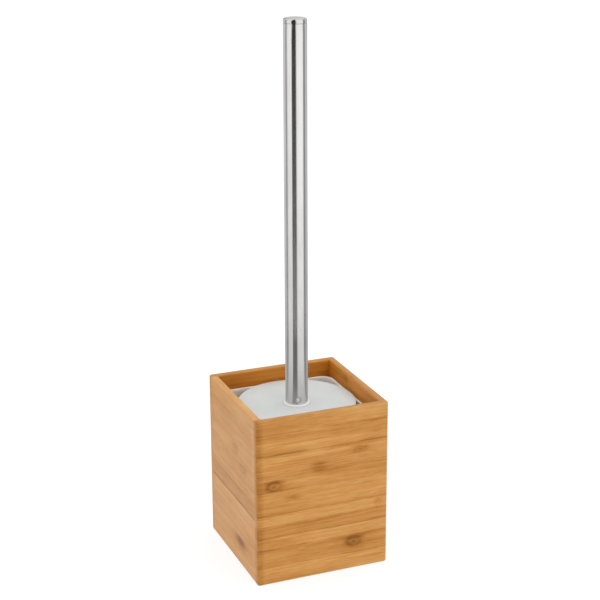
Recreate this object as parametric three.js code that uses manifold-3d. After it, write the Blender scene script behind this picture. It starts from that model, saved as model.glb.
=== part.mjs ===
// A toilet brush in its stand: a square bamboo box, a plastic pot that lifts out of it, and a
// brush with a steel tube handle and a round plastic lid that rests on the rim of the pot.
// Millimetres, +Z up. The origin is the middle of the box's underside and the front faces -Y.
import * as THREE from 'three';
import { mergeVertices } from 'three/addons/utils/BufferGeometryUtils.js';
import Module from 'manifold-3d';

const wasm = await Module();
wasm.setup();

// ---- driving dimensions ----

// bamboo box
const boxSide = 95;
const boxHeight = 119;
const wall = 5;
const baseThickness = 5;
const cornerRound = 1.8;     // upright outer edges
const rimRound = 1;          // top and bottom edges, and the inner edge of the mouth
const glueLine = 0.1;        // between glued boards

// clearances between pieces that come apart or rest on each other
const restGap = 0.3;         // between a piece and what it stands on
const potPlay = 0.5;         // all round the pot's mouth
const threadPlay = 0.3;      // stud in its bores, each side
const tubePlay = 0.3;        // what sits inside the tube, each side
const seamGap = 0.15;        // tube against lid collar and end cap

// plastic pot
const potDrop = 11.3;        // its rim below the rim of the box
const potWall = 1.8;
const potFloor = 2.2;
const potCorner = 9;         // outside radius of the upright corners
const potDraft = 1.6;        // how much narrower it is at the floor, each side
const potFootRound = 1.5;

// lid
const lidLap = 0.8;          // how far it reaches over the inside of the pot's rim
const lidEdge = 1.4;         // thickness at its edge
const lidMiddle = 1.6;       // thickness near the middle
const lidDish = 1.8;         // the middle lies this much lower than the edge
const lidLand = 3.5;         // width of the flat ring at its edge
const collarHeight = 1.75;
const collarLedge = 1.2;     // how far the collar stands out beyond the tube
const collarFillet = 0.9;
const hubRadius = 10;        // boss under the lid
const hubHeight = 2;

// handle
const handleLength = 261.5;  // tube and end cap together
const tubeDiameter = 15.5;
const tubeWall = 0.8;
const endCapHeight = 3;
const endCapRound = 1.4;
const spigotLength = 8;
const holeDiameter = 3.8;
const holeHeight = 3.5;      // middle of the hole above the foot of the tube
const holeTurn = -12;        // degrees from straight ahead, towards the left
const insertLength = 22;
const nubDiameter = 3;
const nubRecess = 0.5;       // end of the nub below the tube's surface

// brush head
const studDiameter = 8;
const studGrip = 14;         // length of stud inside the insert
const studChamfer = 0.8;
const shoulderRadius = 9;
const shoulderHeight = 4;
const neckRadius = 6;
const neckLength = 12;       // shoulder and neck together
const coreRadius = 11;
const headPlay = 2.6;        // bristles to the wall of the pot at its floor
const tipPlay = 5;           // bristles to the floor of the pot
const tipReach = 17.5;       // tip of the bristles below the last row
const tuftGap = 0.3;         // root of a row to the core
const rowCount = 8;
const tuftsPerRow = 12;
const rowGap = 1.2;
const tuftRoot = 4.4;        // width of a tuft at its root
const tuftTip = 9;           // and at its tip
const rootBand = 1.8;        // solid ring that joins the tufts of a row
const endRowShrink = 0.16;   // how much shorter the bristles get towards the ends of the head

// ---- levels and radii that follow from them ----
const mouth = boxSide / 2 - wall;                       // half the inside width of the box
const potHalf = mouth - potPlay;                        // half the outside width of the pot's mouth
const potInside = potHalf - potWall;
const potBottom = baseThickness + restGap;
const potRim = boxHeight - potDrop;
const potHeight = potRim - potBottom;
const floorTop = potBottom + potFloor;

const lidRadius = potInside + lidLap;
const lidSeat = potRim + restGap;                       // underside of the lid's edge
const lidTop = lidSeat + lidEdge;
const lidCentre = lidTop - lidDish;
const hubBottom = lidCentre - lidMiddle - hubHeight;
const tubeRadius = tubeDiameter / 2;
const tubeInside = tubeRadius - tubeWall;
const collarRadius = tubeRadius + collarLedge;
const collarTop = lidCentre + collarHeight;
const boreRadius = studDiameter / 2 + threadPlay;

const tubeFoot = collarTop + seamGap;
const handleTop = tubeFoot + handleLength;
const tubeTop = handleTop - endCapHeight - seamGap;
const plugRadius = tubeInside - tubePlay;
const insertBottom = tubeFoot + seamGap;
const holeLevel = tubeFoot + holeHeight;
const studTop = insertBottom + studGrip;

const shoulderTop = hubBottom - restGap;
const barrelTop = shoulderTop - neckLength;
const tipBottom = floorTop + tipPlay;
const barrelBottom = tipBottom + tipReach;
const rowPitch = (barrelTop - barrelBottom) / rowCount;
const rowThickness = rowPitch - rowGap;
const headRadius = potInside - potDraft - headPlay;

// ---- materials ----
const bamboo = (colour) => new THREE.MeshStandardMaterial({ color: colour, roughness: 0.55, metalness: 0 });
const plastic = (colour) => new THREE.MeshStandardMaterial({ color: colour, roughness: 0.35, metalness: 0 });
const steel = (colour) => new THREE.MeshStandardMaterial({ color: colour, roughness: 0.2, metalness: 1 });
const nylon = (colour) => new THREE.MeshStandardMaterial({ color: colour, roughness: 0.6, metalness: 0 });

// ---- solids ----

// A closed geometry as a solid that can be joined and cut.
function solidOf(geometry) {
  const bare = geometry.clone();
  bare.deleteAttribute('normal');
  bare.deleteAttribute('uv');
  const merged = mergeVertices(bare, 1e-5);
  return new wasm.Manifold(new wasm.Mesh({
    numProp: 3,
    vertProperties: new Float32Array(merged.attributes.position.array),
    triVerts: new Uint32Array(merged.index.array),
  }));
}

function geometryOf(solid) {
  const mesh = solid.getMesh();
  const geometry = new THREE.BufferGeometry();
  geometry.setAttribute('position', new THREE.BufferAttribute(new Float32Array(mesh.vertProperties), 3));
  geometry.setIndex(new THREE.BufferAttribute(new Uint32Array(mesh.triVerts), 1));
  geometry.computeVertexNormals();
  return geometry;
}

// A block between two corners.
function block(low, high) {
  const geometry = new THREE.BoxGeometry(high[0] - low[0], high[1] - low[1], high[2] - low[2]);
  geometry.translate((low[0] + high[0]) / 2, (low[1] + high[1]) / 2, (low[2] + high[2]) / 2);
  return geometry;
}

// A square outline with rounded corners, centred on the origin.
function roundedSquare(half, radius) {
  const shape = new THREE.Shape();
  const inner = half - radius;
  shape.moveTo(half, -inner);
  shape.lineTo(half, inner);
  shape.absarc(inner, inner, radius, 0, Math.PI / 2);
  shape.lineTo(-inner, half);
  shape.absarc(-inner, inner, radius, Math.PI / 2, Math.PI);
  shape.lineTo(-half, -inner);
  shape.absarc(-inner, -inner, radius, Math.PI, Math.PI * 1.5);
  shape.lineTo(inner, -half);
  shape.absarc(inner, -inner, radius, Math.PI * 1.5, Math.PI * 2);
  return shape;
}

function square(half) {
  const shape = new THREE.Shape();
  shape.moveTo(half, -half);
  shape.lineTo(half, half);
  shape.lineTo(-half, half);
  shape.lineTo(-half, -half);
  shape.closePath();
  return shape;
}

// A body turned about the Z axis from [radius, height] points, listed from the bottom up the outside.
function turned(points, sides) {
  const profile = points.map(([radius, height]) => new THREE.Vector2(radius, height));
  const geometry = new THREE.LatheGeometry(profile, sides);
  geometry.rotateX(Math.PI / 2);
  return geometry;
}

// Points on an arc in the [radius, height] plane, angles in degrees.
function arc(centre, radius, from, to, steps) {
  const points = [];
  for (let i = 0; i <= steps; i += 1) {
    const angle = THREE.MathUtils.degToRad(from + (to - from) * i / steps);
    points.push([centre[0] + radius * Math.cos(angle), centre[1] + radius * Math.sin(angle)]);
  }
  return points;
}

// A straight round rod from one radius outwards, level, at an angle about the Z axis.
function radialRod(radius, from, to, level, turn) {
  const rod = new THREE.CylinderGeometry(radius, radius, to - from, 20);
  rod.translate(0, -(from + to) / 2, 0);
  rod.rotateZ(THREE.MathUtils.degToRad(turn));
  rod.translate(0, 0, level);
  return rod;
}

// Draws the lower part of an upright body in towards the axis, in proportion to its depth.
function drafted(geometry, half, top, bottom, draft) {
  const position = geometry.attributes.position;
  for (let i = 0; i < position.count; i += 1) {
    const depth = (top - position.getZ(i)) / (top - bottom);
    const scale = 1 - draft * depth / half;
    position.setX(i, position.getX(i) * scale);
    position.setY(i, position.getY(i) * scale);
  }
  return geometry;
}

// The box before it is divided into boards: rounded outside, open right through, with the
// inner edge of its mouth rounded over.
function boxShell() {
  const outline = roundedSquare(boxSide / 2 - rimRound, cornerRound - rimRound);
  const outer = new THREE.ExtrudeGeometry(outline, {
    depth: boxHeight - 2 * rimRound,
    bevelThickness: rimRound,
    bevelSize: rimRound,
    bevelSegments: 3,
    curveSegments: 4,
  });
  outer.translate(0, 0, rimRound);
  const reach = 10;
  const hollow = new THREE.ExtrudeGeometry(square(mouth), {
    depth: boxHeight - rimRound + reach,
    bevelThickness: rimRound,
    bevelSize: -rimRound,
    bevelOffset: rimRound,
    bevelSegments: 3,
  });
  hollow.translate(0, 0, -reach);
  // the flared end stops exactly at the rim, so a thin slab clears what lies above it
  const above = block([-boxSide, -boxSide, boxHeight], [boxSide, boxSide, boxHeight + reach]);
  return solidOf(outer).subtract(solidOf(hollow)).subtract(solidOf(above));
}

// Front and back boards run the full width; the side boards stand between them.
function boards() {
  const shell = boxShell();
  const far = boxSide;
  const sideEnd = mouth - glueLine;
  const cutOut = (low, high) => geometryOf(shell.intersect(solidOf(block(low, high))));
  return {
    front: cutOut([-far, -far, -far], [far, -mouth, 2 * boxHeight]),
    back: cutOut([-far, mouth, -far], [far, far, 2 * boxHeight]),
    left: cutOut([-far, -sideEnd, -far], [0, sideEnd, 2 * boxHeight]),
    right: cutOut([0, -sideEnd, -far], [far, sideEnd, 2 * boxHeight]),
  };
}

function baseBoard() {
  const half = mouth - glueLine;
  return block([-half, -half, 0], [half, half, baseThickness]);
}

// Cup with a rounded square mouth and slightly drawn-in sides.
function pot() {
  const outer = new THREE.ExtrudeGeometry(roundedSquare(potHalf - potFootRound, potCorner - potFootRound), {
    depth: potHeight - potFootRound,
    bevelThickness: potFootRound,
    bevelSize: potFootRound,
    bevelSegments: 2,
    curveSegments: 5,
  });
  outer.translate(0, 0, potBottom + potFootRound);
  const hollow = new THREE.ExtrudeGeometry(roundedSquare(potInside, potCorner - potWall), {
    depth: potHeight,
    bevelEnabled: false,
    curveSegments: 5,
  });
  hollow.translate(0, 0, floorTop);
  const far = boxSide;
  const above = solidOf(block([-far, -far, potRim], [far, far, potRim + far]));
  const outside = solidOf(drafted(outer, potHalf, potRim, potBottom, potDraft));
  const inside = solidOf(drafted(hollow, potHalf, potRim, potBottom, potDraft));
  return geometryOf(outside.subtract(inside).subtract(above));
}

// Dished disc with a collar for the tube to stand on and a boss underneath.
function lid() {
  const landInside = lidRadius - lidLand;
  const edgeRound = lidEdge / 2;
  const profile = [
    [boreRadius, hubBottom],
    [hubRadius, hubBottom],
    [hubRadius, lidCentre - lidMiddle],
    [landInside, lidSeat],
    [lidRadius - edgeRound, lidSeat],
    ...arc([lidRadius - edgeRound, lidSeat + edgeRound], edgeRound, -60, 90, 4),
    [landInside, lidTop],
    [collarRadius + 2 * collarFillet, lidCentre],
    ...arc([collarRadius + collarFillet, lidCentre + collarFillet], collarFillet, 270, 180, 2),
    [collarRadius, collarTop - collarFillet / 2],
    [collarRadius - collarFillet / 2, collarTop],
    [boreRadius, collarTop],
    [boreRadius, hubBottom],
  ];
  return turned(profile, 44);
}

function handleTube() {
  const profile = [
    [tubeInside, tubeFoot],
    [tubeRadius, tubeFoot],
    [tubeRadius, tubeTop],
    [tubeInside, tubeTop],
    [tubeInside, tubeFoot],
  ];
  const hole = radialRod(holeDiameter / 2, tubeInside / 2, tubeDiameter, holeLevel, holeTurn);
  return geometryOf(solidOf(turned(profile, 40)).subtract(solidOf(hole)));
}

// Round cap with a spigot that is pressed into the tube.
function endCap() {
  const under = handleTop - endCapHeight;
  const spigotEnd = under - spigotLength;
  const lead = 0.8;
  return turned([
    [0, spigotEnd],
    [plugRadius - lead, spigotEnd],
    [plugRadius, spigotEnd + lead],
    [plugRadius, under],
    [tubeRadius, under],
    ...arc([tubeRadius - endCapRound, handleTop - endCapRound], endCapRound, 0, 90, 4),
    [0, handleTop],
  ], 40);
}

// Plug in the foot of the tube: a blind threaded bore, and a nub that snaps into the tube's hole.
function threadedInsert() {
  const boreDepth = studGrip + 2;
  const body = turned([
    [boreRadius, insertBottom],
    [plugRadius, insertBottom],
    [plugRadius, insertBottom + insertLength],
    [0, insertBottom + insertLength],
    [0, insertBottom + boreDepth],
    [boreRadius, insertBottom + boreDepth],
    [boreRadius, insertBottom],
  ], 32);
  const nub = radialRod(nubDiameter / 2, (boreRadius + plugRadius) / 2, tubeRadius - nubRecess, holeLevel, holeTurn);
  return geometryOf(solidOf(body).add(solidOf(nub)));
}

// One moulding: stud, shoulder, neck and the round-ended barrel that holds the bristles.
function brushCore() {
  const stud = studDiameter / 2;
  return turned([
    ...arc([0, barrelBottom], coreRadius, -90, 0, 5),
    [coreRadius, barrelTop - 2],
    [coreRadius - 2, barrelTop],
    [neckRadius, barrelTop],
    [neckRadius, shoulderTop - shoulderHeight],
    [shoulderRadius, shoulderTop - shoulderHeight + 1.5],
    [shoulderRadius, shoulderTop],
    [stud, shoulderTop],
    [stud, studTop - studChamfer],
    [stud - studChamfer, studTop],
    [0, studTop],
  ], 28);
}

// Bristle length of a row: longest in the middle of the head, shorter towards both ends.
function rowRadius(index) {
  const along = 2 * (index + 0.5) / rowCount - 1;
  return headRadius * (1 - endRowShrink * along ** 4);
}

function polar(radius, angle) {
  return new THREE.Vector2(radius * Math.cos(angle), radius * Math.sin(angle));
}

// One row of tufts: a narrow ring round the core with a fan-shaped tuft at each place.
function bristleRow(index) {
  const outer = rowRadius(index);
  const root = coreRadius + tuftGap;
  const band = root + rootBand;
  const step = Math.PI * 2 / tuftsPerRow;
  const start = index % 2 === 0 ? 0 : step / 2;
  const outline = [];
  for (let tuft = 0; tuft < tuftsPerRow; tuft += 1) {
    const middle = start + tuft * step;
    const rootTurn = tuftRoot / 2 / band;
    const tipTurn = tuftTip / 2 / outer;
    outline.push(polar(band, middle - rootTurn));
    outline.push(polar(outer, middle - tipTurn));
    outline.push(polar(outer, middle + tipTurn));
    outline.push(polar(band, middle + rootTurn));
  }
  const shape = new THREE.Shape(outline);
  const hole = new THREE.Path();
  hole.absarc(0, 0, root, 0, Math.PI * 2);
  shape.holes.push(hole);
  const geometry = new THREE.ExtrudeGeometry(shape, { depth: rowThickness, bevelEnabled: false, curveSegments: 12 });
  geometry.translate(0, 0, barrelTop - (index + 1) * rowPitch + rowGap / 2);
  return geometry;
}

// The bristles round the end of the head, as one bowl below the core's round end.
function tipBristles() {
  const root = coreRadius + tuftGap;
  const reach = barrelBottom - tipBottom;
  const outer = rowRadius(rowCount - 1) - 1;
  const top = barrelBottom - rowGap / 2;
  return turned([
    [0, tipBottom],
    [outer * 0.35, tipBottom],
    [outer * 0.75, tipBottom + reach * 0.22],
    [outer, tipBottom + reach * 0.65],
    [outer, top - 1],
    [outer - 2, top],
    ...arc([0, top], root, 0, -90, 5),
  ], 28);
}

// ---- the assembly ----
const group = new THREE.Group();

function add(name, geometry, material) {
  const mesh = new THREE.Mesh(geometry, material);
  mesh.name = name;
  group.add(mesh);
}

const board = boards();
add('front_panel', board.front, bamboo(0xc8935a));
add('back_panel', board.back, bamboo(0xc8935a));
add('left_panel', board.left, bamboo(0xcda173));
add('right_panel', board.right, bamboo(0xcda173));
add('base_panel', baseBoard(), bamboo(0xc4905c));
add('inner_pot', pot(), plastic(0xdcdad8));
add('splash_lid', lid(), plastic(0xd6d8d8));
add('handle_tube', handleTube(), steel(0xcfccca));
add('handle_end_cap', endCap(), steel(0xc8c8c8));
add('threaded_insert', threadedInsert(), plastic(0xe4e4e2));
add('brush_core', brushCore(), plastic(0xe4e4e2));
for (let index = 0; index < rowCount; index += 1) {
  add(`bristle_row_${index + 1}`, bristleRow(index), nylon(0xf0f0ee));
}
add('tip_bristles', tipBristles(), nylon(0xf0f0ee));

export default group;
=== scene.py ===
# Bamboo toilet brush holder: a square box, a plastic pot in it, and a brush with a lid and a steel handle.
# The frame is in metres; shapes are worked out in millimetres and scaled when a mesh is made.
import bpy
import math
import numpy as np
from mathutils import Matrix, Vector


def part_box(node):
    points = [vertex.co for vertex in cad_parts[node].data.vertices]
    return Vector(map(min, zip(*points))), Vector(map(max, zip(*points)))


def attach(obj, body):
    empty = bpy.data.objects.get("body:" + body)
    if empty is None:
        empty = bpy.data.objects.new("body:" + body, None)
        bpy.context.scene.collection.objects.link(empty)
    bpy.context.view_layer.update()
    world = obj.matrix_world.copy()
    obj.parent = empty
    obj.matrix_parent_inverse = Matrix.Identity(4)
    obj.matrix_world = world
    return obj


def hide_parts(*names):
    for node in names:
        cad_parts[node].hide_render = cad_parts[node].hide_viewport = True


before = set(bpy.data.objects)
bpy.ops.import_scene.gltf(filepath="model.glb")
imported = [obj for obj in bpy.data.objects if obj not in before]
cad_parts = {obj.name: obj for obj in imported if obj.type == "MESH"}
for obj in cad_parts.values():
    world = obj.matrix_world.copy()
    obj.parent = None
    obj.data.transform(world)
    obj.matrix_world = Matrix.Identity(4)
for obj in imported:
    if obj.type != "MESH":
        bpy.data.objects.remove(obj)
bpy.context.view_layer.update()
mm = 0.001


def nodeBox(name):
    # lowest and highest corner of a node, in millimetres
    low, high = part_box(name)
    return np.array(low) / mm, np.array(high) / mm


boxHigh = nodeBox("front_panel")[1]
half = boxHigh[0]                             # half the side of the box
boxTop = boxHigh[2]
mouth = -boxHigh[1]                           # half the inside width of the box
sideEnd = nodeBox("left_panel")[1][1]         # how far the side boards reach along Y
baseHalf, baseTop = nodeBox("base_panel")[1][1:]
potLow, potHigh = nodeBox("inner_pot")
lidLow, lidHigh = nodeBox("splash_lid")
tubeLow, tubeHigh = nodeBox("handle_tube")
tubeRadius = tubeHigh[0]
capLow, capHigh = nodeBox("handle_end_cap")
insertLow, insertHigh = nodeBox("threaded_insert")
coreLow, coreHigh = nodeBox("brush_core")
tipLow, tipHigh = nodeBox("tip_bristles")
print("frame")


view = {
    "place": (-0.3578739, -0.8914928, 0.4987226),
    "turn": (71.7767, 0.2053, -22.0895),      # degrees about X, Y and Z
    "lens": 90.109,
    "sensor": 36.0,
}


def addCamera():
    data = bpy.data.cameras.new("camera")
    data.lens = view["lens"]
    data.sensor_width = view["sensor"]
    data.clip_start = 0.05
    data.clip_end = 60
    camera = bpy.data.objects.new("camera", data)
    camera.location = view["place"]
    camera.rotation_euler = [math.radians(angle) for angle in view["turn"]]
    bpy.context.scene.collection.objects.link(camera)
    bpy.context.scene.camera = camera


addCamera()
bpy.context.scene.view_settings.view_transform = "Standard"
print("camera")


def feed(tree, socket, value):
    # a wire is linked, anything else is set on the socket
    if isinstance(value, Wire):
        tree.links.new(value.socket, socket)
    elif isinstance(value, tuple) and len(value) == 3 and len(socket.default_value) == 4:
        socket.default_value = (*value, 1)
    else:
        socket.default_value = value


class Wire:
    # a shader socket that can stand in sums, products and powers
    def __init__(self, tree, socket):
        self.tree = tree
        self.socket = socket

    def maths(self, operation, *values, clamped=False):
        made = self.tree.nodes.new("ShaderNodeMath")
        made.operation = operation
        made.use_clamp = clamped
        for index, value in enumerate(values):
            feed(self.tree, made.inputs[index], value)
        return Wire(self.tree, made.outputs[0])

    def __add__(self, other):
        return self.maths("ADD", self, other)

    __radd__ = __add__

    def __sub__(self, other):
        return self.maths("SUBTRACT", self, other)

    def __rsub__(self, other):
        return self.maths("SUBTRACT", other, self)

    def __mul__(self, other):
        return self.maths("MULTIPLY", self, other)

    __rmul__ = __mul__

    def __truediv__(self, other):
        return self.maths("DIVIDE", self, other)

    def __rtruediv__(self, other):
        return self.maths("DIVIDE", other, self)

    def __neg__(self):
        return self.maths("MULTIPLY", self, -1)

    def __pow__(self, other):
        return self.maths("POWER", self, other)

    def __rpow__(self, other):
        return self.maths("POWER", other, self)

    def __gt__(self, other):
        return self.maths("GREATER_THAN", self, other)

    def __lt__(self, other):
        return self.maths("LESS_THAN", self, other)

    def __abs__(self):
        return self.maths("ABSOLUTE", self)

    def root(self):
        return self.maths("SQRT", self)

    def clamped(self):
        return self.maths("ADD", self, 0.0, clamped=True)


class Nodes:
    # a node tree; node() makes every node that is not a Math node
    def __init__(self, tree):
        self.tree = tree

    def node(self, kind, settings=None, inputs=None, output=0):
        made = self.tree.nodes.new("ShaderNode" + kind)
        for key, value in (settings or {}).items():
            if key == "stops":
                self.setStops(made.color_ramp, value)
            elif key == "between":
                made.color_ramp.interpolation = value
            else:
                setattr(made, key, value)
        for key, value in (inputs or {}).items():
            feed(self.tree, made.inputs[key], value)
        return Wire(self.tree, made.outputs[output])

    def setStops(self, ramp, stops):
        while len(ramp.elements) > 1:
            ramp.elements.remove(ramp.elements[-1])
        for index, (place, colour) in enumerate(stops):
            element = ramp.elements[0] if index == 0 else ramp.elements.new(place)
            element.position = place
            element.color = (*colour, 1) if isinstance(colour, tuple) else (colour, colour, colour, 1)

    def split(self, vector):
        made = self.tree.nodes.new("ShaderNodeSeparateXYZ")
        feed(self.tree, made.inputs[0], vector)
        return [Wire(self.tree, socket) for socket in made.outputs]

    def noise(self, vector, detail=2.0, roughness=0.5):
        values = {"Vector": vector, "Scale": 1.0, "Detail": detail, "Roughness": roughness}
        return self.node("TexNoise", inputs=values)

    def ramp(self, value, stops, between="LINEAR"):
        return self.node("ValToRGB", {"between": between, "stops": stops}, {0: value})

    def blend(self, factor, first, second, how="MIX"):
        settings = {"data_type": "RGBA", "blend_type": how}
        return self.node("Mix", settings, {0: factor, 6: first, 7: second}, output=2)

    def soft(self, value, low, high):
        # 0 at low, 1 at high, an S curve between
        settings = {"interpolation_type": "SMOOTHSTEP"}
        return self.node("MapRange", settings, {0: value, 1: low, 2: high, 3: 0.0, 4: 1.0})


class Finish(Nodes):
    # a material: its node tree, where the surface is, and its shader
    def __init__(self, name):
        self.material = bpy.data.materials.new(name)
        self.material.use_nodes = True
        super().__init__(self.material.node_tree)
        self.shader = self.tree.nodes["Principled BSDF"]

    def place(self):
        # object coordinates in millimetres
        return [axis * 1000 for axis in self.split(self.node("TexCoord", output=3))]

    def mottle(self, place, sizes, detail=2.0, roughness=0.5):
        # noise whose blots measure these sizes along X, Y and Z, in millimetres
        return self.noise(self.vector(*[axis / size for axis, size in zip(place, sizes)]), detail, roughness)

    def facing(self):
        # the three parts of the surface's own direction
        return self.split(self.node("NewGeometry", output=1))

    def vector(self, x, y, z):
        return self.node("CombineXYZ", inputs={0: x, 1: y, 2: z})

    def bump(self, height, strength, distance):
        return self.node("Bump", inputs={"Height": height, "Strength": strength, "Distance": distance})

    def set(self, **sockets):
        for name, value in sockets.items():
            feed(self.tree, self.shader.inputs[name.replace("_", " ")], value)


def linear(red, green, blue):
    # colour values 0-255 as shown on a screen, made linear
    shown = np.array([red, green, blue]) / 255
    return tuple(np.where(shown <= 0.04045, shown / 12.92, ((shown + 0.055) / 1.055) ** 2.4).tolist())


def makePiece(name, points, faceLists, body, slot, finish, node, crease=40):
    # points in millimetres; faces as arrays of corners, each array with its own count
    mesh = bpy.data.meshes.new(name)
    faces = [face for array in faceLists for face in array.tolist()]
    mesh.from_pydata((points * mm).tolist(), [], faces)
    mesh.polygons.foreach_set("use_smooth", np.ones(len(faces), bool))
    mesh.set_sharp_from_angle(angle=math.radians(crease))
    mesh.update()
    mesh.materials.append(finish.material)
    piece = bpy.data.objects.new(name, mesh)
    bpy.context.scene.collection.objects.link(piece)
    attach(piece, body)
    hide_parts(node)
    return piece


def together(*columns):
    # arrays or numbers side by side, along a new last axis
    return np.stack(np.broadcast_arrays(*columns), axis=-1)


def gridFaces(rows, columns, rowsClosed=False, columnsClosed=False):
    # quads of a grid of points, wrapped round where a direction is closed
    r = np.arange(rows if rowsClosed else rows - 1)[:, None]
    c = np.arange(columns if columnsClosed else columns - 1)[None, :]
    here, above = r * columns, (r + 1) % rows * columns
    beside = (c + 1) % columns
    return together(here + c, here + beside, above + beside, above + c).reshape(-1, 4)


def mergeDoubles(points, faces):
    # points that coincide become one; quads that lose a corner become triangles
    keys = np.round(points * 1e4).astype(np.int64)
    _, first, back = np.unique(keys, axis=0, return_index=True, return_inverse=True)
    faces = back.reshape(-1)[faces]
    lost = faces == np.roll(faces, -1, axis=1)
    whole = faces[lost.sum(axis=1) == 0]
    thin = faces[lost.sum(axis=1) == 1]
    gone = np.argmax(thin == np.roll(thin, -1, axis=1), axis=1)
    kept = (gone[:, None] + np.arange(1, 4)) % 4
    return points[first], [whole, np.take_along_axis(thin, kept, axis=1)]


def joined(*parts):
    # several (points, face arrays) as one
    points = []
    faceLists = []
    start = 0
    for partPoints, partFaces in parts:
        points.append(partPoints)
        faceLists += [array + start for array in partFaces]
        start += len(partPoints)
    return np.concatenate(points), faceLists


def volume(points, faceLists):
    # six times the volume inside a closed mesh, negative when its faces point inwards
    total = 0
    for array in faceLists:
        for k in range(1, array.shape[1] - 1):
            a, b, c = (points[array[:, j]] for j in (0, k, k + 1))
            total += np.einsum("ij,ij->", a, np.cross(b, c))
    return total


def facingOut(points, faceLists):
    # the same mesh with its faces turned to point outwards
    if volume(points, faceLists) < 0:
        faceLists = [array[:, ::-1] for array in faceLists]
    return points, faceLists


def swung(points, degrees):
    # points turned about the Z axis
    turn = math.radians(degrees)
    spin = [[math.cos(turn), math.sin(turn), 0], [-math.sin(turn), math.cos(turn), 0], [0, 0, 1]]
    return points @ np.array(spin)


def ringsFrom(profile, angle):
    # each [radius, height] of a profile carried round the Z axis as a loop: (r cos a, r sin a, h)
    profile = np.asarray(profile, float)
    x = profile[:, :1] * np.cos(angle)
    y = profile[:, :1] * np.sin(angle)
    return together(x, y, profile[:, 1:])


def fullTurn(sides):
    return np.arange(sides) / sides * 2 * math.pi


def turned(profile, sides, closed=False):
    # a closed skin from a profile carried round the Z axis
    points = ringsFrom(profile, fullTurn(sides)).reshape(-1, 3)
    return mergeDoubles(points, gridFaces(len(profile), sides, closed, True))


def stacked(*blocks):
    # blocks of loops, joined in order into one skin
    loops = np.concatenate(blocks)
    rows, sides = loops.shape[:2]
    return facingOut(*mergeDoubles(loops.reshape(-1, 3), gridFaces(rows, sides, False, True)))


def arc(centre, radius, start, end, steps):
    # points on an arc in the [radius, height] plane, angles in degrees
    angle = np.radians(np.linspace(start, end, steps + 1))
    return together(centre[0] + radius * np.cos(angle), centre[1] + radius * np.sin(angle))


# bamboo

bambooTones = {
    # tone, and its colour
    "knuckle": (0.05, linear(136, 80, 3)),
    "dark": (0.3, linear(170, 113, 40)),
    "body": (0.5, linear(196, 139, 70)),
    "light": (0.68, linear(213, 162, 96)),
    "pale": (0.92, linear(231, 194, 137)),
}
bambooGrain = {
    "span": 120,          # depth that the strips are laid out over
    "flatDepth": 59.5,    # depth at the middle of a board that lies flat
    "wander": 1.1,        # how far the glue lines wander as they run
    # fibres: length, height and thickness of the pattern, its own seed, detail, roughness
    "streak": (100, 3.0, 3, 0, 2.0, 0.55),
    "fibre": (26, 0.62, 0.7, 0, 3.0, 0.6),
    "hair": (9, 0.2, 0.25, 0, 2.0, 0.6),
    "cloud": (34, 14, 9, 5, 2.0, 0.5),
    "dash": (11, 0.75, 2, 3, 1.0, 0.5),
    # how much each adds to the tone
    "amounts": {"streak": 0.28, "fibre": 0.09, "hair": 0.06, "cloud": 0.20},
    "paleDash": 0.07,
    "darkDash": 0.08,
    "edgeShade": 0.2,     # shadow towards a strip's lower edge
    "line": 0.23,         # the glue line itself
    "upperEdge": 0.05,    # paler upper edge
    "bundle": 0.62,       # size of a fibre bundle on a cut end
    "roughness": 0.44,
    "coat": 0.12,
    "bump": 0.35,
}
knuckleShape = {
    # where each part lies and how tight it is, as shares of the knuckle's size, then how dark it is
    "heart": (1.2, 0.5),
    "ring": (0.78, 3.8, 0.36),
    "bar": (0.75, 2.2, 0.4),
    "curve": (0.42, 5.5, 0.34),
    "shadow": (0.16, 0.7, 0.2),
}

frontBoard = {
    "grain": 0,
    "contrast": 1.3,
    "tint": (0.985, 0.965, 0.94),
    # painted shade along the rounded left upright edge, standing in for its darker reflection
    "cornerShade": 0.15,                      # how much darker the left upright edge is
    "endTint": (0.98, 0.93, 0.74),
    "strips": (0, 11, 25.5, 34, 42.6, 51.6, 60.6, 68.6, 77, 85, 94, 107),    # depth of its upper edge
    "tones": (0.5, 0.51, 0.53, 0.5, 0.5, 0.54, 0.5, 0.56, 0.42, 0.52, 0.47, 0.52),
    "lines": (0.7, 0.7, 0.4, 0.7, 0.4, 0.4, 0.6, 0.9, 0.7, 0.8, 0.5, 0.0),   # how dark its lower edge is
    "streaks": (
        # along, depth, half length, half height, how much lighter or darker
        (28, 11.4, 22, 0.9, -0.15),
        (-22, 12.3, 25, 0.8, -0.08),
        (0, 9.3, 46, 0.7, 0.05),
        (25, 16, 24, 1.6, -0.06),
        (10, 21, 40, 1.4, 0.06),
        (-30, 25.3, 19, 1.7, -0.11),
        (28, 26, 22, 1.6, -0.10),
        (10, 30, 9, 0.5, -0.09),
        (-4, 43, 20, 1.5, -0.13),
        (-30, 51.2, 17, 0.8, -0.12),
        (33, 62.3, 15, 0.6, 0.08),
        (0, 77.4, 38, 0.7, -0.10),
        (-41, 93.6, 8, 0.9, -0.14),
        (28, 93.8, 20, 0.9, -0.16),
        (-4, 96.8, 20, 3.0, -0.08),
        (30, 109.6, 13, 0.7, 0.10),
        (-30, 110.6, 10, 0.6, 0.06),
    ),
    "knuckles": (
        # along, depth, length, height, darkness, how open its curl is
        (27.1, 31.2, 5.6, 2.9, 0.34, 0.6),
        (-3.5, 38.8, 4.6, 3.4, 0.34, 0.4),
        (-35.5, 47.6, 6.0, 3.8, 0.46, 0.9),
        (-21.5, 57.6, 6.2, 1.9, 0.42, 0.0),
        (40.5, 73.4, 2.4, 3.6, 0.16, 0.8),
        (22.5, 98.6, 6.2, 4.0, 0.5, 0.8),
    ),
    "innerShade": (1.14, 0.98, 0.5),
    "seed": 3.0,
}
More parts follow.
